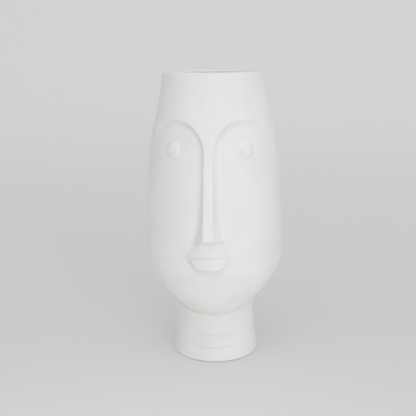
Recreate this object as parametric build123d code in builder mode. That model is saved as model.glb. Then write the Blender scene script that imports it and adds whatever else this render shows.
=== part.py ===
from build123d import *
import os

# Face vase: a matte white stoneware head on a round neck, with a stylised face in relief.
# The head and the neck that it stands on are two hollow slip castings, luted together at the chin.
# The nose, the eyes and the lips are pressed pieces luted onto the head, each trimmed to what it sits on.
# Millimetres. The origin is the middle of the foot, where the vase rests. +Z is up, the face looks along -Y.

os.makedirs("parts", exist_ok=True)

# The head is an egg of revolution, cut flat across its mouth, standing a little in front of the neck.
height = 300.0
mouth_radius = 51.0
mouth_flare = 4.0
mouth_reach = 49.0
head_radius = 71.5
widest_height = 114.0
temple_drop = 53.0
jaw_reach = 27.0
chin_reach = 17.0
egg_bottom = 31.5
head_forward = 9.0
wall = 5.5
rim_round = 2.0

# The cheeks are the same egg moved back and down, so they lie behind the forehead and run out at the jaw.
cheek_back = 4.0
cheek_drop = 5.0
cheek_start = 22.0
forehead = 45.5
arch_rise = 30.5
bridge_width = 11.0
arch_inner = 25.5
arch_flat = 2.0
arch_outer = 29.0
temple_slant = 16.0
temple_run = 64.0

# The nose runs down from the bridge between the brows and flares to a flat underside.
nose_bottom = 144.0
nose_out = 13.0
nose_width = 29.0
ridge_width = 8.5
tip_width = 12.0
nose_round = 1.6
nose_embed = 8.0
nose_sections = 6

# Each eye is a ring with a bead inside it.
eye_spread = 70.0
eye_drop = 27.0
ring_across = 18.6
ring_thick = 4.4
pupil_across = 8.6
pupil_out = 2.6

# The lips are two rolls that meet along an arched line between the corners of the mouth.
mouth_width = 38.4
corner_height = 121.8
mouth_arch = 4.6
upper_rise = 15.0
lower_drop = 10.5
bow_dip = 1.5
bow_share = 0.25
upper_curl = 1.8
lower_curl = 2.8
lip_out = 6.5
lip_overlap = 0.8
lip_embed = 3.0
lip_sections = 5
lip_end = 0.96

# The neck is a short flared tube with a floor, a foot ring and two creases across its front.
foot_radius = 46.5
neck_radius = 41.5
flare_out = 2.2
flare_height = 10.0
waist_height = 32.0
straight_height = 60.0
floor_thick = 6.0
foot_recess = 2.5
foot_ring = 7.0
foot_round = 1.0
crease_heights = (14.3, 27.4)
crease_radius = 1.2
crease_deep = 0.9
crease_back = 6.5

# How far the cutting shapes reach past what they cut.
overshoot = 20.0

head_axis = Axis((0, -head_forward, 0), (0, 0, 1))


def egg(inset, rise):
    """The egg set in from the head's outside by inset, and carried straight up above the mouth by rise."""
    across = head_radius - inset
    mouth = mouth_radius - inset
    bottom = egg_bottom + 1.5 * inset
    jaw = widest_height - jaw_reach + 0.3 * inset
    with BuildPart() as body:
        with BuildSketch(Plane.XZ.offset(head_forward)):
            with BuildLine():
                Bezier((0, bottom), (chin_reach, bottom), (across, jaw), (across, widest_height))
                Bezier(
                    (across, widest_height),
                    (across, height - temple_drop),
                    (mouth + mouth_flare, height - mouth_reach),
                    (mouth, height),
                )
                if rise > 0:
                    Line((mouth, height), (mouth, height + rise))
                Polyline((mouth, height + rise), (0, height + rise), (0, bottom))
            make_face()
        revolve(axis=head_axis)
    return body.part


outer_egg = egg(0, 0)
inner_egg = egg(wall, overshoot)
cheek_place = Location((0, cheek_back, -cheek_drop))
cheek_egg = outer_egg.moved(cheek_place)
inner_cheek_egg = inner_egg.moved(cheek_place)
cheek_plane = Plane.XZ.offset(head_forward - cheek_start)
cheek_reach = cheek_start + head_radius + overshoot

# All that stands in front of the cheeks, below the two brow arches and either side of the bridge.
brow_height = height - forehead
arch_spring = brow_height - arch_rise
half_bridge = bridge_width / 2
flat_start = half_bridge + arch_inner
flat_end = flat_start + arch_flat
temple = flat_end + arch_outer
with BuildPart() as face_cut:
    with BuildSketch(cheek_plane):
        with BuildLine():
            Line((0, arch_spring), (half_bridge, arch_spring))
            EllipticalCenterArc(
                (flat_start, arch_spring), arch_inner, arch_rise, start_angle=90, arc_size=90
            )
            Line((flat_start, brow_height), (flat_end, brow_height))
            EllipticalCenterArc(
                (flat_end, arch_spring), arch_outer, arch_rise, start_angle=0, arc_size=90
            )
            Polyline(
                (temple, arch_spring),
                (temple + temple_slant, arch_spring - temple_run),
                (temple + temple_slant, 0),
                (0, 0),
                (0, arch_spring),
            )
        make_face()
        mirror(about=Plane.YZ)
    extrude(amount=cheek_reach)
    add(cheek_egg, mode=Mode.SUBTRACT)

# The head before it is hollowed, to which the pressed pieces are trimmed.
with BuildPart() as face_blank:
    add(outer_egg)
    add(face_cut.part, mode=Mode.SUBTRACT)


def front_of(solid, x, z):
    """The point where a solid is met from straight ahead at x and z, and the direction out of it there."""
    return solid.find_intersection_points(Axis((x, -height, z), (0, 1, 0)))[0]


# Inside, the wall steps in behind the whole of the cheeks, a wall's thickness above the brows.
step_height = brow_height + wall
with BuildPart() as hollow_cut:
    with BuildSketch(cheek_plane):
        with Locations((0, step_height / 2)):
            Rectangle(4 * head_radius, step_height)
    extrude(amount=cheek_reach)
    add(inner_cheek_egg, mode=Mode.SUBTRACT)

with BuildPart() as hollow:
    add(inner_egg)
    add(hollow_cut.part, mode=Mode.SUBTRACT)

# The head is open at the mouth above and into the neck below.
passage_radius = neck_radius - wall
with BuildPart() as head_vessel:
    add(face_blank.part)
    add(hollow.part, mode=Mode.SUBTRACT)
    with BuildSketch():
        Circle(passage_radius)
    extrude(amount=widest_height, mode=Mode.SUBTRACT)
    fillet(head_vessel.edges().group_by(Axis.Z)[-1], min(rim_round, 0.4 * wall))
head_vessel.part.label = "head_vessel"

# Sections of the nose, from the bridge down: a flat ridge, sides that slope to the cheek, a back in the head.
bridge_front = front_of(outer_egg, 0, arch_spring)[0].Y
tip_front = front_of(cheek_egg, 0, nose_bottom)[0].Y - nose_out
with BuildPart() as nose:
    for section in range(nose_sections):
        share = section / (nose_sections - 1)
        level = arch_spring + share * (nose_bottom - arch_spring)
        front = bridge_front + share * (tip_front - bridge_front)
        cheek = front_of(cheek_egg, 0, level)[0].Y
        ridge = (ridge_width + share**3 * (tip_width - ridge_width)) / 2
        base = (bridge_width + share**3 * (nose_width - bridge_width)) / 2
        with BuildSketch(Plane.XY.offset(level)) as outline:
            with BuildLine():
                Polyline(
                    (-ridge, front),
                    (ridge, front),
                    (base, cheek),
                    (base, cheek + nose_embed),
                    (-base, cheek + nose_embed),
                    (-base, cheek),
                    close=True,
                )
            make_face()
            fillet(outline.vertices().group_by(Axis.Y)[0], nose_round)
    loft()
    fillet(nose.faces().sort_by(Axis.Z)[0].edges(), nose_round)
    add(face_blank.part, mode=Mode.SUBTRACT)
nose.part.label = "nose"

pieces = [head_vessel, nose]

# The eyes sit square to the face where they are.
ring_tube = ring_thick / 2
pupil_ball = ((pupil_across / 2) ** 2 + pupil_out**2) / (2 * pupil_out)
for side, name in ((-1, "left"), (1, "right")):
    eye_point, eye_out = front_of(face_blank.part, side * eye_spread / 2, brow_height - eye_drop)
    eye_plane = Plane(origin=eye_point, z_dir=eye_out)
    with BuildPart() as eye_ring:
        with Locations(eye_plane):
            Torus(ring_across / 2 - ring_tube, ring_tube)
        add(face_blank.part, mode=Mode.SUBTRACT)
    eye_ring.part.label = "eye_ring_" + name
    with BuildPart() as pupil:
        with Locations(eye_plane.offset(pupil_out - pupil_ball)):
            Sphere(pupil_ball)
        add(face_blank.part, mode=Mode.SUBTRACT)
    pupil.part.label = "pupil_" + name
    pieces += [eye_ring, pupil]


def mouth_line(share):
    """The height of the line between the lips, at a share of the way from mid-mouth to a corner."""
    return corner_height + mouth_arch * (1 - share**2)


def upper_edge(share):
    """The height of the upper lip's top edge, with its dip in the middle."""
    beyond = max(0, abs(share) - bow_share) / (1 - bow_share)
    within = max(0, 1 - abs(share) / bow_share)
    return corner_height + upper_rise * (1 - beyond**upper_curl) - bow_dip * within**2


def lower_edge(share):
    """The height of the lower lip's bottom edge."""
    return corner_height - lower_drop * (1 - abs(share) ** lower_curl)


def roll(top, bottom):
    """A roll that lies along the face between two edges, full in the middle and thin at the corners."""
    with BuildPart() as body:
        for section in range(lip_sections):
            share = lip_end * section / (lip_sections - 1)
            middle = (top(share) + bottom(share)) / 2
            point, out = front_of(face_blank.part, share * mouth_width / 2, middle)
            level_out = Vector(out.X, out.Y, 0)
            along = level_out.cross(Vector(0, 0, 1))
            half = (top(share) - bottom(share)) / 2 + lip_overlap
            fullness = lip_out * (1 - share**2) ** 0.5
            with BuildSketch(Plane(origin=point, x_dir=level_out, z_dir=along)):
                with BuildLine():
                    ThreePointArc((-lip_embed, -half), (fullness, 0), (-lip_embed, half))
                    Line((-lip_embed, half), (-lip_embed, -half))
                make_face()
        loft()
        mirror(about=Plane.YZ)
        add(face_blank.part, mode=Mode.SUBTRACT)
    return body.part


upper_roll = roll(upper_edge, mouth_line)
lower_roll = roll(mouth_line, lower_edge)

with BuildPart() as upper_lip:
    add(upper_roll)
upper_lip.part.label = "upper_lip"

with BuildPart() as lower_lip:
    add(lower_roll)
    add(upper_roll, mode=Mode.SUBTRACT)
lower_lip.part.label = "lower_lip"


def neck_form(inset):
    """The neck's flared outside set in by inset, solid, from the foot up to well inside the head."""
    with BuildPart() as body:
        with BuildSketch(Plane.XZ):
            with BuildLine():
                Line((0, 0), (foot_radius - inset, 0))
                Bezier(
                    (foot_radius - inset, 0),
                    (neck_radius + flare_out - inset, flare_height),
                    (neck_radius - inset, waist_height),
                    (neck_radius - inset, straight_height),
                )
                Polyline(
                    (neck_radius - inset, straight_height),
                    (neck_radius - inset, widest_height),
                    (0, widest_height),
                    (0, 0),
                )
            make_face()
        revolve(axis=Axis.Z)
    return body.part


outer_neck = neck_form(0)

# The inside of the neck, above its floor.
with BuildPart() as neck_well:
    add(neck_form(wall))
    split(bisect_by=Plane.XY.offset(foot_recess + floor_thick), keep=Keep.TOP)

with BuildPart() as neck_stand:
    add(outer_neck)
    fillet(neck_stand.faces().sort_by(Axis.Z)[0].edges(), foot_round)
    add(neck_well.part, mode=Mode.SUBTRACT)
    with BuildSketch():
        Circle(foot_radius - foot_ring)
    extrude(amount=foot_recess, mode=Mode.SUBTRACT)
    add(outer_egg, mode=Mode.SUBTRACT)
    for crease_height in crease_heights:
        front = front_of(outer_neck, 0, crease_height)[0].Y
        crease_ring = crease_back - front + crease_radius - crease_deep
        with Locations((0, crease_back, crease_height)):
            Torus(crease_ring, crease_radius, mode=Mode.SUBTRACT)
neck_stand.part.label = "neck_stand"

pieces += [upper_lip, lower_lip, neck_stand]
for piece in pieces:
    export_step(piece.part, "parts/" + piece.part.label + ".step")
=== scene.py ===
import math

import bmesh
import bpy
import numpy as np
from mathutils import Euler, Matrix, Vector
from mathutils.geometry import interpolate_bezier


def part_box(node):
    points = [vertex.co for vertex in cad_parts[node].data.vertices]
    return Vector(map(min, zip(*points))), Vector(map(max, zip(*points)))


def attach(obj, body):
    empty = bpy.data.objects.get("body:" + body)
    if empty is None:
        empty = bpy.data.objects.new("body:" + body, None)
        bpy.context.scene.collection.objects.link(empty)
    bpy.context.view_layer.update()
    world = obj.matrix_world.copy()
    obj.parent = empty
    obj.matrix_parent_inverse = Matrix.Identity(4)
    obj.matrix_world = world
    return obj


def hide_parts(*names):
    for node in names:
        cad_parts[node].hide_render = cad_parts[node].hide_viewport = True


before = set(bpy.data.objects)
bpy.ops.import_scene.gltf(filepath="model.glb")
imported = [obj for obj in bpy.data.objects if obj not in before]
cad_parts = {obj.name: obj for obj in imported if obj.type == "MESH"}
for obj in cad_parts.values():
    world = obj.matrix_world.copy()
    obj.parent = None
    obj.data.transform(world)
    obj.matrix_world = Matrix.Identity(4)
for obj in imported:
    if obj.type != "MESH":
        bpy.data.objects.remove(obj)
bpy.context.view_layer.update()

MM = 0.001

# The head is an egg of white stoneware, slip cast in a plaster mould and open at the top. The forehead,
# the brow arches and the set-back cheeks are cast in its wall. The outside has a matte white coat, the
# inside a thin glaze that holds water, and the rim is sponged round.
head_low, head_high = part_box("head_vessel")
rim_height = head_high.z
head_radius = (head_high.x - head_low.x) / 2
head_axis = head_high.y - head_radius
mouth_radius = 51 * MM
mouth_flare = 4 * MM
mouth_reach = 49 * MM
temple_drop = 53 * MM
widest_height = 114 * MM
jaw_reach = 27 * MM
chin_reach = 17 * MM
chin_height = 31.5 * MM
wall = 5.5 * MM
chin_thicken = 1.5
jaw_thicken = 0.3
rim_round = 2.4 * MM
rim_rows = 6
jaw_rows = 50
temple_rows = 240
inner_rows = 8
head_steps = 300
front_share = 0.65


def egg_side(inset):
    """The head's side from the chin up to the rim, as points with the radius in x, set in by inset."""
    across = head_radius - inset
    chin = Vector((0, 0, chin_height + chin_thicken * inset))
    chin_pull = Vector((chin_reach, 0, chin.z))
    jaw_pull = Vector((across, 0, widest_height - jaw_reach + jaw_thicken * inset))
    cheek = Vector((across, 0, widest_height))
    temple_pull = Vector((across, 0, rim_height - temple_drop))
    mouth_pull = Vector((mouth_radius + mouth_flare - inset, 0, rim_height - mouth_reach))
    mouth = Vector((mouth_radius - inset, 0, rim_height))
    lower = interpolate_bezier(chin, chin_pull, jaw_pull, cheek, jaw_rows)
    upper = interpolate_bezier(cheek, temple_pull, mouth_pull, mouth, temple_rows)
    return lower[:-1] + upper


outer_side = np.array(egg_side(0))
inner_side = np.array(egg_side(wall))


def side_radius(height):
    """The radius of the plain egg at a height."""
    return np.interp(height, outer_side[:, 2], outer_side[:, 0])


def soft_positive(value, ease):
    """The value where it is above nought and nought below, with the corner eased over twice the ease."""
    eased = (np.clip(value, -ease, ease) + ease) ** 2 / (4 * ease)
    return np.where(value > ease, value, eased)


def soft_step(share):
    """Nought up to one as the share goes from nought to one, soft at both ends."""
    share = np.clip(share, 0, 1)
    return share**2 * (3 - 2 * share)


# The cheeks are the same egg moved back and down, seen through a window below each brow arch.
cheek_back = 4 * MM
cheek_drop = 5 * MM
cheek_ease = 1.5 * MM
brow_height = rim_height - 45.5 * MM
arch_rise = 30.5 * MM
arch_spring = brow_height - arch_rise
half_bridge = 5.5 * MM
arch_inner = 25.5 * MM
arch_flat = 2 * MM
arch_outer = 29 * MM
temple_slant = 0.25
brow_lead = 1.2 * MM
brow_run = 6.4 * MM
brow_crest = 0.1
brow_foot = 0.12
brow_hollow = 2.4
bridge_fade = 20 * MM
facing_gain = 1.6
facing_reach = 0.35
least_share = 0.001


def cheek_radius(angle, height):
    """The radius of the cheeks about the head's axis, at an angle from straight ahead."""
    reach = side_radius(height + cheek_drop)
    set_back = np.sqrt(reach**2 - (cheek_back * np.sin(angle)) ** 2) - cheek_back * np.cos(angle)
    plain = side_radius(height)
    return plain - soft_positive(plain - set_back, cheek_ease)


def slope_share(distance, run, hollow):
    """How far down a slope a place is: nought at its crest, one at its foot, and hollow in between."""
    along = soft_positive(distance / run, brow_crest)
    return 1 - soft_positive(1 - along, brow_foot) ** hollow


def inside_arch(across, height):
    """How far inside the nearer brow arch a place on the face is."""
    flat_start = half_bridge + arch_inner
    flat_end = flat_start + arch_flat
    is_inner = across < flat_start
    span = np.where(is_inner, flat_start - across, np.clip(across - flat_end, 0, None))
    sideways = span / np.where(is_inner, arch_inner, arch_outer)
    upward = (height - arch_spring) / arch_rise
    spoke = np.hypot(span, height - arch_spring)
    above = spoke * (1 / np.maximum(np.hypot(sideways, upward), least_share) - 1)
    temple = flat_end + arch_outer + temple_slant * (arch_spring - height)
    below = np.minimum(across - half_bridge, temple - across)
    return np.where(height > arch_spring, above, below)


def face_radius(angle, height):
    """The radius of the head's outside about its axis, with the brows and the cheeks."""
    plain = side_radius(height)
    across = np.abs(plain * np.sin(angle))
    share = slope_share(inside_arch(across, height) + brow_lead, brow_run, brow_hollow)
    under_nose = soft_step((arch_spring - height) / bridge_fade) * (across < arch_inner)
    share = np.maximum(share, under_nose)
    facing = np.clip(facing_gain * (np.cos(angle) + facing_reach), 0, 1)
    return plain - share * facing * (plain - cheek_radius(angle, height))


sharp_angle = math.radians(50)
weld_gap = 0.001 * MM


def mesh_piece(name, bm, *materials):
    """A smooth-shaded object from a finished bmesh."""
    mesh = bpy.data.meshes.new(name)
    bm.to_mesh(mesh)
    bm.free()
    for material in materials:
        mesh.materials.append(material)
    mesh.shade_smooth()
    mesh.set_sharp_from_angle(angle=sharp_angle)
    piece = bpy.data.objects.new(name, mesh)
    bpy.context.scene.collection.objects.link(piece)
    return piece


def read_points(bm):
    """The places of a bmesh's vertices, one row each."""
    return np.array([vert.co for vert in bm.verts])


def write_points(bm, points):
    """Moves a bmesh's vertices to these places."""
    for vert, point in zip(bm.verts, points):
        vert.co = point


def close_surface(bm):
    """Welds a bmesh where its vertices meet, and turns its faces outward."""
    bmesh.ops.remove_doubles(bm, verts=bm.verts, dist=weld_gap)
    bmesh.ops.recalc_face_normals(bm, faces=bm.faces)
    if bm.calc_volume(signed=True) < 0:
        bmesh.ops.reverse_faces(bm, faces=bm.faces)


def spin_profile(bm, axis_y, steps):
    """Turns a profile once round an upright axis and closes its seam and poles."""
    geometry = bm.verts[:] + bm.edges[:]
    middle = (0, axis_y, 0)
    upright = (0, 0, 1)
    bmesh.ops.spin(bm, geom=geometry, cent=middle, axis=upright, angle=math.tau, steps=steps, use_merge=True)
    close_surface(bm)


def profile_edges(bm, points, closed):
    """A line of vertices and edges through a row of points."""
    line = [bm.verts.new(point) for point in points]
    for start, end in zip(line, line[1:]):
        bm.edges.new((start, end))
    if closed:
        bm.edges.new((line[-1], line[0]))
    return line


def add_noise(nodes, links, place, scale, detail):
    """A noise texture on the piece's own coordinates, with features of about one over scale."""
    noise = nodes.new("ShaderNodeTexNoise")
    noise.inputs["Scale"].default_value = scale
    noise.inputs["Detail"].default_value = detail
    links.new(place.outputs["Object"], noise.inputs["Vector"])
    return noise


def add_bump(nodes, links, height, before, strength, distance):
    """A bump from a height texture, on top of the bump before it."""
    bump = nodes.new("ShaderNodeBump")
    bump.inputs["Strength"].default_value = strength
    bump.inputs["Distance"].default_value = distance
    links.new(height, bump.inputs["Height"])
    if before is not None:
        links.new(before.outputs["Normal"], bump.inputs["Normal"])
    return bump


cloud_scale = 22
cloud_detail = 4
sheen_scale = 70
sheen_detail = 3
wave_scale = 45
wave_detail = 2
wave_height = 0.6 * MM
sand_scale = 1500
sand_detail = 5
sand_height = 0.12 * MM
noise_low = 0.3
noise_high = 0.7
pit_scale = 240
pit_floor = 0.04
pit_rim = 0.1
pit_strength = 0.4
pit_height = 0.15 * MM
pit_tint = (0.94, 0.93, 0.91)


def fired_clay(name, pale, deep, smooth, rough, wave, grain, specular):
    """A fired surface: cloudy between two tones, with a fine grain, soft waves and scattered pinholes."""
    material = bpy.data.materials.new(name)
    material.use_nodes = True
    nodes = material.node_tree.nodes
    links = material.node_tree.links
    shader = nodes["Principled BSDF"]
    shader.inputs["Specular IOR Level"].default_value = specular
    place = nodes.new("ShaderNodeTexCoord")

    cloud = add_noise(nodes, links, place, cloud_scale, cloud_detail)
    tones = nodes.new("ShaderNodeValToRGB")
    tones.color_ramp.elements[0].position = noise_low
    tones.color_ramp.elements[0].color = (*deep, 1)
    tones.color_ramp.elements[1].position = noise_high
    tones.color_ramp.elements[1].color = (*pale, 1)
    links.new(cloud.outputs["Fac"], tones.inputs["Fac"])

    pits = nodes.new("ShaderNodeTexVoronoi")
    pits.inputs["Scale"].default_value = pit_scale
    links.new(place.outputs["Object"], pits.inputs["Vector"])
    pit_edge = nodes.new("ShaderNodeMapRange")
    pit_edge.inputs["From Min"].default_value = pit_floor
    pit_edge.inputs["From Max"].default_value = pit_rim
    links.new(pits.outputs["Distance"], pit_edge.inputs["Value"])
    # The pinholes are coloured darker than the coat around them.
    pit_darkening = nodes.new("ShaderNodeMix")
    pit_darkening.data_type = "RGBA"
    pit_colour = [tint * channel for tint, channel in zip(pit_tint, deep)]
    pit_darkening.inputs["A"].default_value = (*pit_colour, 1)
    links.new(pit_edge.outputs["Result"], pit_darkening.inputs["Factor"])
    links.new(tones.outputs["Color"], pit_darkening.inputs["B"])
    links.new(pit_darkening.outputs["Result"], shader.inputs["Base Color"])

    sheen = add_noise(nodes, links, place, sheen_scale, sheen_detail)
    gloss = nodes.new("ShaderNodeMapRange")
    gloss.inputs["From Min"].default_value = noise_low
    gloss.inputs["From Max"].default_value = noise_high
    gloss.inputs["To Min"].default_value = smooth
    gloss.inputs["To Max"].default_value = rough
    links.new(sheen.outputs["Fac"], gloss.inputs["Value"])
    links.new(gloss.outputs["Result"], shader.inputs["Roughness"])

    waves = add_noise(nodes, links, place, wave_scale, wave_detail)
    sand = add_noise(nodes, links, place, sand_scale, sand_detail)
    swell = add_bump(nodes, links, waves.outputs["Fac"], None, wave, wave_height)
    pitted = add_bump(nodes, links, pit_edge.outputs["Result"], swell, pit_strength, pit_height)
    grainy = add_bump(nodes, links, sand.outputs["Fac"], pitted, grain, sand_height)
    links.new(grainy.outputs["Normal"], shader.inputs["Normal"])
    return material


matte_coat = fired_clay(
    "matte_coat",
    pale=(0.84, 0.835, 0.825),
    deep=(0.8, 0.79, 0.775),
    smooth=0.58,
    rough=0.7,
    wave=0.25,
    grain=0.35,
    specular=0.35,
)
inner_glaze = fired_clay(
    "inner_glaze",
    pale=(0.9, 0.895, 0.885),
    deep=(0.87, 0.865, 0.85),
    smooth=0.2,
    rough=0.32,
    wave=0.08,
    grain=0.08,
    specular=0.5,
)

# The profile goes up the outside from the way into the neck, over the rim and down the inside.
passage_radius = 36 * MM
passage_start = 26.5 * MM
passage_blend = 54 * MM
rim_start = rim_height - rim_round
outer_line = [Vector(point) for point in outer_side if point[0] > passage_start and point[2] < rim_start]
inner_line = [Vector(point) for point in inner_side if point[0] > passage_start and point[2] < rim_start]
rim_middle = mouth_radius - wall / 2
rim_line = []
for row in range(rim_rows + 1):
    turn = math.pi * row / rim_rows
    rim_x = rim_middle + wall / 2 * math.cos(turn)
    rim_line.append(Vector((rim_x, 0, rim_start + rim_round * math.sin(turn))))
head_bm = bmesh.new()
inset_layer = head_bm.verts.layers.float.new("inset")
head_profile = outer_line + rim_line + inner_line[::-inner_rows]
for index, vert in enumerate(profile_edges(head_bm, head_profile, closed=True)):
    vert[inset_layer] = float(index > len(outer_line) + rim_rows / 2)
bmesh.ops.translate(head_bm, verts=head_bm.verts, vec=(0, head_axis, 0))
spin_profile(head_bm, head_axis, head_steps)

# The vertices are drawn together at the front, opened out round the passage and set back at the cheeks.
points = read_points(head_bm)
inside = np.array([vert[inset_layer] for vert in head_bm.verts]) > 0.5
radius = np.hypot(points[:, 0], points[:, 1] - head_axis)
angle = np.arctan2(points[:, 0], head_axis - points[:, 1])
angle = angle - front_share * np.sin(angle)
height = points[:, 2]
passage_edge = head_axis * np.cos(angle) + np.sqrt(passage_radius**2 - (head_axis * np.sin(angle)) ** 2)
blend_share = (radius - passage_start) / (passage_blend - passage_start)
opened = passage_edge + blend_share * (passage_blend - passage_edge)
lower = (radius < passage_blend) & (height < widest_height)
radius = np.where(lower, opened, radius)
for side, chosen in ((outer_side[:jaw_rows], lower & ~inside), (inner_side[:jaw_rows], lower & inside)):
    height = np.where(chosen, np.interp(radius, side[:, 0], side[:, 2]), height)
radius = radius - np.where(height < rim_height - wall, side_radius(height) - face_radius(angle, height), 0)
points = np.stack([radius * np.sin(angle), head_axis - radius * np.cos(angle), height], axis=1)
write_points(head_bm, points)
head_bm.normal_update()
for face in head_bm.faces:
    face.material_index = int(all(vert[inset_layer] > 0.5 for vert in face.verts))
head = mesh_piece("head", head_bm, matte_coat, inner_glaze)
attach(head, "root")
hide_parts("head_vessel")

# The neck that carries the head is a short flared tube with a floor, slip cast in the same stoneware,
# glazed inside and luted to the head under the chin. Two creases are drawn across its front while it
# is soft, and its underside is wiped bare so that it doesn't stick in the kiln.
neck_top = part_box("neck_stand")[1].z
foot_radius = 46.5 * MM
neck_radius = 41.5 * MM
flare_out = 2.2 * MM
flare_height = 10 * MM
waist_height = 32 * MM
straight_height = 60 * MM
floor_top = 8.5 * MM
floor_fillet = 8 * MM
foot_recess = 2.5 * MM
foot_ring = 7 * MM
foot_round = 1 * MM
foot_edge = 1.6
foot_bend = 0.9
foot_lift = 0.25
recess_bend = 0.3
bare_reach = 0.1 * MM
bare_tilt = 0.2
floor_rows = 6
neck_rows = 90
neck_steps = 220
lute_depth = 2 * MM
lute_rows = 24
lute_half = 1.4 * MM
lute_crease = 2 * MM
crease_heights = (14.3 * MM, 27.4 * MM)
crease_half = 1.1 * MM
crease_deep = 1.3 * MM
crease_middle = 3 * MM
crease_reach = 26 * MM
crease_fade = 10 * MM

bare_foot = fired_clay(
    "bare_foot",
    pale=(0.62, 0.57, 0.5),
    deep=(0.55, 0.5, 0.43),
    smooth=0.8,
    rough=0.92,
    wave=0.25,
    grain=0.6,
    specular=0.25,
)

flare = interpolate_bezier(
    Vector((foot_radius, 0, 0)),
    Vector((neck_radius + flare_out, 0, flare_height)),
    Vector((neck_radius, 0, waist_height)),
    Vector((neck_radius, 0, straight_height)),
    neck_rows,
)
foot_inside = foot_radius - foot_ring
neck_profile = [
    Vector((0, 0, foot_recess)),
    Vector((foot_inside - foot_recess, 0, foot_recess)),
    Vector((foot_inside - recess_bend * foot_recess, 0, (1 - recess_bend) * foot_recess)),
    Vector((foot_inside, 0, foot_round)),
    Vector((foot_inside + foot_round, 0, 0)),
    Vector((foot_radius - foot_edge * foot_round, 0, 0)),
    Vector((foot_radius - foot_bend * foot_round, 0, foot_lift * foot_round)),
]
neck_profile += [point for point in flare if point.z > foot_round]
for row in range(1, lute_rows + 1):
    lute_height = straight_height + (neck_top - straight_height) * row / lute_rows
    neck_profile.append(Vector((neck_radius, 0, lute_height)))
neck_profile.append(Vector((passage_radius + lute_depth / 2, 0, neck_top)))
for point in reversed(flare):
    if point.z > floor_top + floor_fillet:
        neck_profile.append(Vector((point.x - wall, 0, point.z)))
floor_start = neck_profile[-1].x
for row in range(1, floor_rows + 1):
    turn = math.pi / 2 * row / floor_rows
    floor_x = floor_start - floor_fillet * (1 - math.cos(turn))
    neck_profile.append(Vector((floor_x, 0, floor_top + floor_fillet * (1 - math.sin(turn)))))
neck_profile.append(Vector((0, 0, floor_top)))
neck_bm = bmesh.new()
profile_edges(neck_bm, neck_profile, closed=False)
spin_profile(neck_bm, 0, neck_steps)

# The top of the neck follows the underside of the head, a little way inside its wall.
points = read_points(neck_bm)
reach = np.hypot(points[:, 0], points[:, 1] - head_axis)
seat = np.interp(reach, outer_side[:jaw_rows, 0], outer_side[:jaw_rows, 2]) + lute_depth
upper = np.clip((points[:, 2] - waist_height) / (neck_top - waist_height), 0, 1)
points[:, 2] += upper * (seat - neck_top)
around = np.hypot(points[:, 0], points[:, 1])
beside = np.abs(points[:, 0] - crease_middle)
front = np.clip((crease_reach - beside) / crease_fade, 0, 1) * (points[:, 1] < 0)
pressed = np.zeros(len(points))
for crease_height in crease_heights:
    pressed += crease_deep * front * np.exp(-((points[:, 2] - crease_height) / crease_half) ** 2)
luted = np.exp(-(((points[:, 2] - seat + lute_depth) / lute_half) ** 2))
pressed += lute_crease * luted
pressed *= around > neck_radius - wall / 2
points[:, :2] *= (1 - pressed / np.maximum(around, MM))[:, None]
write_points(neck_bm, points)
neck_bm.normal_update()
for face in neck_bm.faces:
    middle = face.calc_center_median()
    if middle.z < foot_recess + bare_reach:
        face.material_index = int(face.normal.z < -bare_tilt)
    elif math.hypot(middle.x, middle.y) < neck_radius - wall / 2:
        face.material_index = 2
neck = mesh_piece("neck", neck_bm, matte_coat, bare_foot, inner_glaze)
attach(neck, "root")
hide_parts("neck_stand")

# The nose is a solid wedge of pressed clay, luted on below the bridge and fettled into the face, so that
# its ridge carries on the line of the forehead. It widens to two wings and ends in a flat underside.
nose_low, nose_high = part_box("nose")
tip_radius = head_axis - nose_low.y
nose_tongue = 12 * MM
nose_root = nose_high.z + nose_tongue
nose_wing = 15.4 * MM
wing_start = 196 * MM
wing_curve = 2.7
tip_half = 4.3 * MM
tip_round = 1.6 * MM
under_fall = 4.5 * MM
nose_margin = 1.5 * MM
wing_hollow = 1.05
tongue_run = 8
tongue_sink = 0.15 * MM
sprig_back = 3 * MM
sprig_sink = 0.004 * MM
nose_columns = 48
nose_rows = 110


def sprig_blank(columns, rows):
    """A flat pad from minus one to one each way in x and y, with a back sheet under it."""
    bm = bmesh.new()
    bmesh.ops.create_grid(bm, x_segments=columns, y_segments=rows, size=1)
    bmesh.ops.solidify(bm, geom=bm.faces[:], thickness=sprig_back)
    return bm


def press_on(bm, angle, height, lift):
    """Wraps a pad onto the head, at each vertex's angle and height, with its front lifted off the face."""
    points = read_points(bm)
    is_front = points[:, 2] > np.mean(points[:, 2])
    radius = np.where(is_front, lift, cheek_radius(angle, height) - sprig_back)
    write_points(bm, np.stack([radius * np.sin(angle), head_axis - radius * np.cos(angle), height], axis=1))
    close_surface(bm)


nose_bm = sprig_blank(nose_columns, nose_rows)
flat = read_points(nose_bm)
ridge_run = nose_root - nose_low.z
tip_out = tip_radius - cheek_radius(0, nose_low.z)
path = (1 - flat[:, 1]) / 2 * (ridge_run + tip_out + 2 * sprig_sink)
turn = np.clip((path - ridge_run + tip_round) / (2 * tip_round), 0, 1) * math.pi / 2
height = np.where(turn > 0, nose_low.z + tip_round * (1 - np.sin(turn)), nose_root - path)
drop = np.where(turn >= math.pi / 2, path - ridge_run, tip_round * (1 - np.cos(turn)))
wing = np.clip((wing_start - height) / (wing_start - nose_low.z), 0, 1) ** wing_curve
crest = half_bridge - brow_lead
foot = crest + brow_run
crest = crest + wing * (tip_half - crest)
foot = foot + wing * (nose_wing - foot)
across = flat[:, 0] * (foot + nose_margin)
angle = np.arcsin(across / side_radius(height))
share = (nose_high.z - height) / (nose_high.z - nose_low.z)
bridge_radius = side_radius(nose_high.z)
ridge = np.where(share > 0, bridge_radius + share * (tip_radius - bridge_radius), side_radius(height))
rise = ridge - cheek_radius(0, height)
hollow = brow_hollow + wing * (wing_hollow - brow_hollow)
fall = 1 - slope_share(np.abs(across) - crest, foot - crest, hollow)
tongue = np.clip(-share * tongue_run, 0, 1) * tongue_sink
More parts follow.
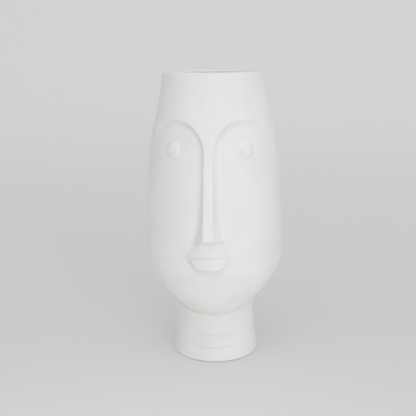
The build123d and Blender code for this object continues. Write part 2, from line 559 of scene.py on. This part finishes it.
lift = cheek_radius(angle, height) + fall * np.maximum(rise - drop, 0) - sprig_sink - tongue
height = height - under_fall * np.clip((tip_radius - lift) / tip_out, 0, 1) * wing
press_on(nose_bm, angle, height, lift)
nose = mesh_piece("nose_ridge", nose_bm, matte_coat)
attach(nose, "root")
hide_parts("nose")

# Each eye is a rolled ring of clay with a bead inside it, both pressed onto the cheek with slip while
# the clay is leather hard. They have the same matte coat as the head.
ring_inside = 3.8 * MM
ring_crest = 5 * MM
ring_outside = 8.7 * MM
ring_out = 2.1 * MM
ring_dip = 0.15 * MM
ring_ease = 0.2
pupil_half = 5.4 * MM
pupil_out = 2.8 * MM
eye_rows = 16
eye_steps = 72
eye_sink = 0.6 * MM


def eye_part(name, node, profile, closed):
    """A profile turned about its own middle and pressed onto the cheek where the node is."""
    bm = bmesh.new()
    profile_edges(bm, profile, closed)
    spin_profile(bm, 0, eye_steps)
    low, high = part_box(node)
    middle = (low + high) / 2
    points = read_points(bm)
    eye_angle = math.atan2(middle.x, head_axis - middle.y)
    angle = eye_angle + points[:, 0] / cheek_radius(eye_angle, middle.z)
    height = middle.z + points[:, 1]
    radius = cheek_radius(angle, height) + points[:, 2]
    write_points(bm, np.stack([radius * np.sin(angle), head_axis - radius * np.cos(angle), height], axis=1))
    close_surface(bm)
    piece = mesh_piece(name, bm, matte_coat)
    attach(piece, "root")
    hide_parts(node)


ring_profile = [Vector((ring_inside, 0, -eye_sink))]
for row in range(eye_rows + 1):
    ring_reach = ring_inside + (ring_outside - ring_inside) * row / eye_rows
    inner_fall = ring_dip * (ring_crest - ring_reach) / (ring_crest - ring_inside)
    outer_fall = ring_out * (ring_reach - ring_crest) / (ring_outside - ring_crest)
    fall = soft_positive(inner_fall, ring_ease * ring_dip) + soft_positive(outer_fall, ring_ease * ring_out)
    ring_profile.append(Vector((ring_reach, 0, max(ring_out - fall, -sprig_sink))))
ring_profile.append(Vector((ring_outside, 0, -eye_sink)))
bead_profile = []
for row in range(eye_rows + 1):
    turn = math.pi / 2 * row / eye_rows
    bead_profile.append(Vector((pupil_half * math.sin(turn), 0, pupil_out * math.cos(turn))))
bead_profile += [Vector((pupil_half, 0, -eye_sink)), Vector((0, 0, -eye_sink))]
for side in ("left", "right"):
    eye_part("eye_roll_" + side, "eye_ring_" + side, ring_profile, closed=True)
    eye_part("eye_bead_" + side, "pupil_" + side, bead_profile, closed=False)

# The lips are two rolls of clay laid one under the other and smoothed into the face at the corners of
# the mouth. The upper one runs up to the nose as a soft ridge and falls away to both sides, and the
# lower one is fuller and rolled in underneath.
upper_half = 26 * MM
mouth_half = 20.2 * MM
corner_height = 121.8 * MM
mouth_arch = 4 * MM
lip_top = 143 * MM
lip_shoulder = 14.5 * MM
lower_drop = 13.4 * MM
lower_curl = 3
upper_out = 8.4 * MM
lower_out = 7.6 * MM
lip_shelf = 0.38
lip_ridge = 0.2
lip_tail = 0.95
lip_ease = 0.1
lip_crown = 0.02
lip_fade = 0.65
fade_gain = 2
dip_gain = 2
lip_hold = 1.2
lip_dip = 0.25
lip_tuck = 0.14
tuck_share = 0.25
lower_roll = 0.3
lower_ease = 0.3
corner_curl = 2.5
lower_side = 0.75
lip_columns = 72
lip_rows = 32


def mouth_line(across):
    """The height of the line between the lips, at a distance from the middle of the face."""
    return corner_height + mouth_arch * (1 - np.minimum((across / mouth_half) ** 2, 1))


def upper_edge(across):
    """The height of the upper lip's top edge, which runs down from the nose to the corners."""
    beside = (np.abs(across) / upper_half - lip_shelf) / (1 - lip_shelf)
    return lip_top - lip_shoulder * soft_positive(beside, lip_ease)


def lower_edge(across):
    """The height of the lower lip's bottom edge."""
    return corner_height - lower_drop * (1 - np.abs(across / mouth_half) ** lower_curl)


def lip_roll(name, node, half, top, bottom, fullness):
    """A lip between two edges, as thick as fullness says at each share along it and down it."""
    bm = sprig_blank(lip_columns, lip_rows)
    flat = read_points(bm)
    across = flat[:, 0] * half
    down = (1 - flat[:, 1]) / 2
    height = top(across) + down * (bottom(across) - top(across))
    angle = np.arcsin(across / side_radius(height))
    lift = cheek_radius(angle, height) + fullness(np.abs(flat[:, 0]), down) - sprig_sink
    press_on(bm, angle, height, lift)
    lip = mesh_piece(name, bm, matte_coat)
    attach(lip, "root")
    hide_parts(node)


def upper_fullness(along, down):
    """The thickness of the upper lip: a ridge under the nose with a slope on each side."""
    beside = (along - lip_ridge) / (lip_tail - lip_ridge)
    side = soft_positive(1 - soft_positive(beside, lip_ease), lip_ease)
    hold = np.clip(1 - lip_hold * beside, 0, 1)
    rise = hold + (1 - hold) * soft_step(down / (lip_crown + lip_fade * soft_step(fade_gain * beside)))
    dip = 1 - lip_dip * np.clip(1 - dip_gain * down, 0, 1) ** 2
    tuck = 1 - lip_tuck * np.clip((down - 1) / tuck_share + 1, 0, 1) ** 2
    return upper_out * side * rise * dip * tuck


def lower_fullness(along, down):
    """The thickness of the lower lip, which is full across its front and rolled in at its foot."""
    side = (1 - along**corner_curl) ** lower_side
    under = 1 - soft_positive(1 - (1 - down) / lower_roll, lower_ease)
    tuck = 1 - lip_tuck * np.clip(1 - down / tuck_share, 0, 1) ** 2
    return lower_out * side * under * tuck


lip_roll("upper_lip_roll", "upper_lip", upper_half, upper_edge, mouth_line, upper_fullness)
lip_roll("lower_lip_roll", "lower_lip", mouth_half, mouth_line, lower_edge, lower_fullness)

# The vase stands on a plain pale sheet that runs up behind it in one soft curve.
# To camera, glossy and transmission rays half of the sheet is painted light: a glow, darker near the front
# and lighter towards the back, that stands in for the light on the sheet and lightens the vase's shadow on
# it.
sheet_half = 4.0
sheet_front = -3.0
sheet_back = 1.1
sheet_curve = 0.9
sheet_top = 3.0
sheet_rows = 24
sheet_rough = 0.9
sheet_specular = 0.2
sheet_colour = (0.93, 0.93, 0.93, 1)
sheet_far = 1.6
near_painted_shade = (0.46, 0.46, 0.47, 1)
far_painted_light = (0.63, 0.63, 0.64, 1)
painted_glow_share = 0.5
sheet_bm = bmesh.new()
sheet_line = [Vector((-sheet_half, sheet_front, 0))]
for row in range(sheet_rows + 1):
    turn = math.pi / 2 * row / sheet_rows
    bend_y = sheet_back + sheet_curve * math.sin(turn)
    sheet_line.append(Vector((-sheet_half, bend_y, sheet_curve * (1 - math.cos(turn)))))
sheet_line.append(Vector((-sheet_half, sheet_back + sheet_curve, sheet_top)))
profile_edges(sheet_bm, sheet_line, closed=False)
swept = bmesh.ops.extrude_edge_only(sheet_bm, edges=sheet_bm.edges[:])
swept_verts = [item for item in swept["geom"] if isinstance(item, bmesh.types.BMVert)]
bmesh.ops.translate(sheet_bm, verts=swept_verts, vec=(2 * sheet_half, 0, 0))
bmesh.ops.recalc_face_normals(sheet_bm, faces=sheet_bm.faces)
pale_sheet = bpy.data.materials.new("pale_sheet")
pale_sheet.use_nodes = True
sheet_nodes = pale_sheet.node_tree.nodes
sheet_shader = sheet_nodes["Principled BSDF"]
sheet_shader.inputs["Roughness"].default_value = sheet_rough
sheet_shader.inputs["Specular IOR Level"].default_value = sheet_specular
sheet_shader.inputs["Base Color"].default_value = sheet_colour
# Painted light: a glow for camera, glossy and transmission rays, painted darker near the front and lighter
# further back.
sheet_painted_glow = sheet_nodes.new("ShaderNodeEmission")
sheet_place = sheet_nodes.new("ShaderNodeTexCoord")
sheet_parts = sheet_nodes.new("ShaderNodeSeparateXYZ")
sheet_depth = sheet_nodes.new("ShaderNodeMapRange")
sheet_depth.inputs["From Min"].default_value = 0
sheet_depth.inputs["From Max"].default_value = sheet_far
painted_sheet_light = sheet_nodes.new("ShaderNodeMix")
painted_sheet_light.data_type = "RGBA"
painted_sheet_light.inputs["A"].default_value = near_painted_shade
painted_sheet_light.inputs["B"].default_value = far_painted_light
sheet_path = sheet_nodes.new("ShaderNodeLightPath")
sheet_share = sheet_nodes.new("ShaderNodeMath")
sheet_share.operation = "MULTIPLY"
sheet_share.inputs[1].default_value = painted_glow_share
sheet_mix = sheet_nodes.new("ShaderNodeMixShader")
sheet_links = pale_sheet.node_tree.links
sheet_links.new(sheet_place.outputs["Object"], sheet_parts.inputs["Vector"])
sheet_links.new(sheet_parts.outputs["Y"], sheet_depth.inputs["Value"])
sheet_links.new(sheet_depth.outputs["Result"], painted_sheet_light.inputs["Factor"])
sheet_links.new(painted_sheet_light.outputs["Result"], sheet_painted_glow.inputs["Color"])
seen_rays = sheet_path.outputs["Is Camera Ray"]
for ray_kind in ("Is Glossy Ray", "Is Transmission Ray"):
    either = sheet_nodes.new("ShaderNodeMath")
    either.operation = "MAXIMUM"
    sheet_links.new(seen_rays, either.inputs[0])
    sheet_links.new(sheet_path.outputs[ray_kind], either.inputs[1])
    seen_rays = either.outputs["Value"]
sheet_links.new(seen_rays, sheet_share.inputs[0])
sheet_links.new(sheet_share.outputs["Value"], sheet_mix.inputs["Fac"])
sheet_links.new(sheet_shader.outputs["BSDF"], sheet_mix.inputs[1])
sheet_links.new(sheet_painted_glow.outputs["Emission"], sheet_mix.inputs[2])
sheet_links.new(sheet_mix.outputs["Shader"], sheet_nodes["Material Output"].inputs["Surface"])
floor = mesh_piece("pale_floor", sheet_bm, pale_sheet)

# Soft studio light: a low broad lamp to the front right, a wide one overhead, a narrow one aimed at the
# floor in front, whose light comes back up under the chin, and an even pale room.
room_colour = (1, 1, 1, 1)
room_strength = 0.6
world = bpy.data.worlds.new("pale_room")
bpy.context.scene.world = world
world.use_nodes = True
room = world.node_tree.nodes["Background"]
room.inputs["Color"].default_value = room_colour
room.inputs["Strength"].default_value = room_strength


def add_lamp(name, place, aim, size, spread, power):
    """A square soft lamp that faces a point, with its beam kept within a spread in degrees."""
    lamp = bpy.data.lights.new(name, "AREA")
    lamp.size = size
    lamp.spread = math.radians(spread)
    lamp.energy = power
    holder = bpy.data.objects.new(name, lamp)
    holder.location = place
    holder.rotation_euler = (Vector(aim) - Vector(place)).to_track_quat("-Z", "Y").to_euler()
    bpy.context.scene.collection.objects.link(holder)


add_lamp("key_lamp", place=(1, -1.9, 0.7), aim=(0, 0, 0.15), size=0.9, spread=180, power=8.2)
add_lamp("top_lamp", place=(0, -0.9, 2.2), aim=(0, 0, 0.1), size=2, spread=180, power=9)
add_lamp("floor_lamp", place=(0, -0.6, 1.2), aim=(0, -0.45, 0), size=0.4, spread=40, power=0.3)

# The camera stands a little above the rim and a little to the right, and looks down at the middle.
camera_height = 0.32
camera_reach = 0.6818
camera_turn = math.radians(4.631)
camera_pan = math.radians(5.239)
camera_tilt = math.radians(13.5)
camera_roll = math.radians(-0.412)
camera_data = bpy.data.cameras.new("camera")
camera_data.sensor_width = 36
camera_data.lens = 56.85
camera = bpy.data.objects.new("camera", camera_data)
camera_right = camera_reach * math.sin(camera_turn)
camera_front = camera_reach * math.cos(camera_turn)
camera.location = (camera_right, -camera_front, camera_height)
camera_aim = Euler((math.pi / 2 - camera_tilt, 0, camera_pan)).to_matrix()
camera.rotation_euler = (camera_aim @ Matrix.Rotation(camera_roll, 3, "Z")).to_euler()
bpy.context.scene.collection.objects.link(camera)
bpy.context.scene.camera = camera
bpy.context.scene.view_settings.view_transform = "Standard"
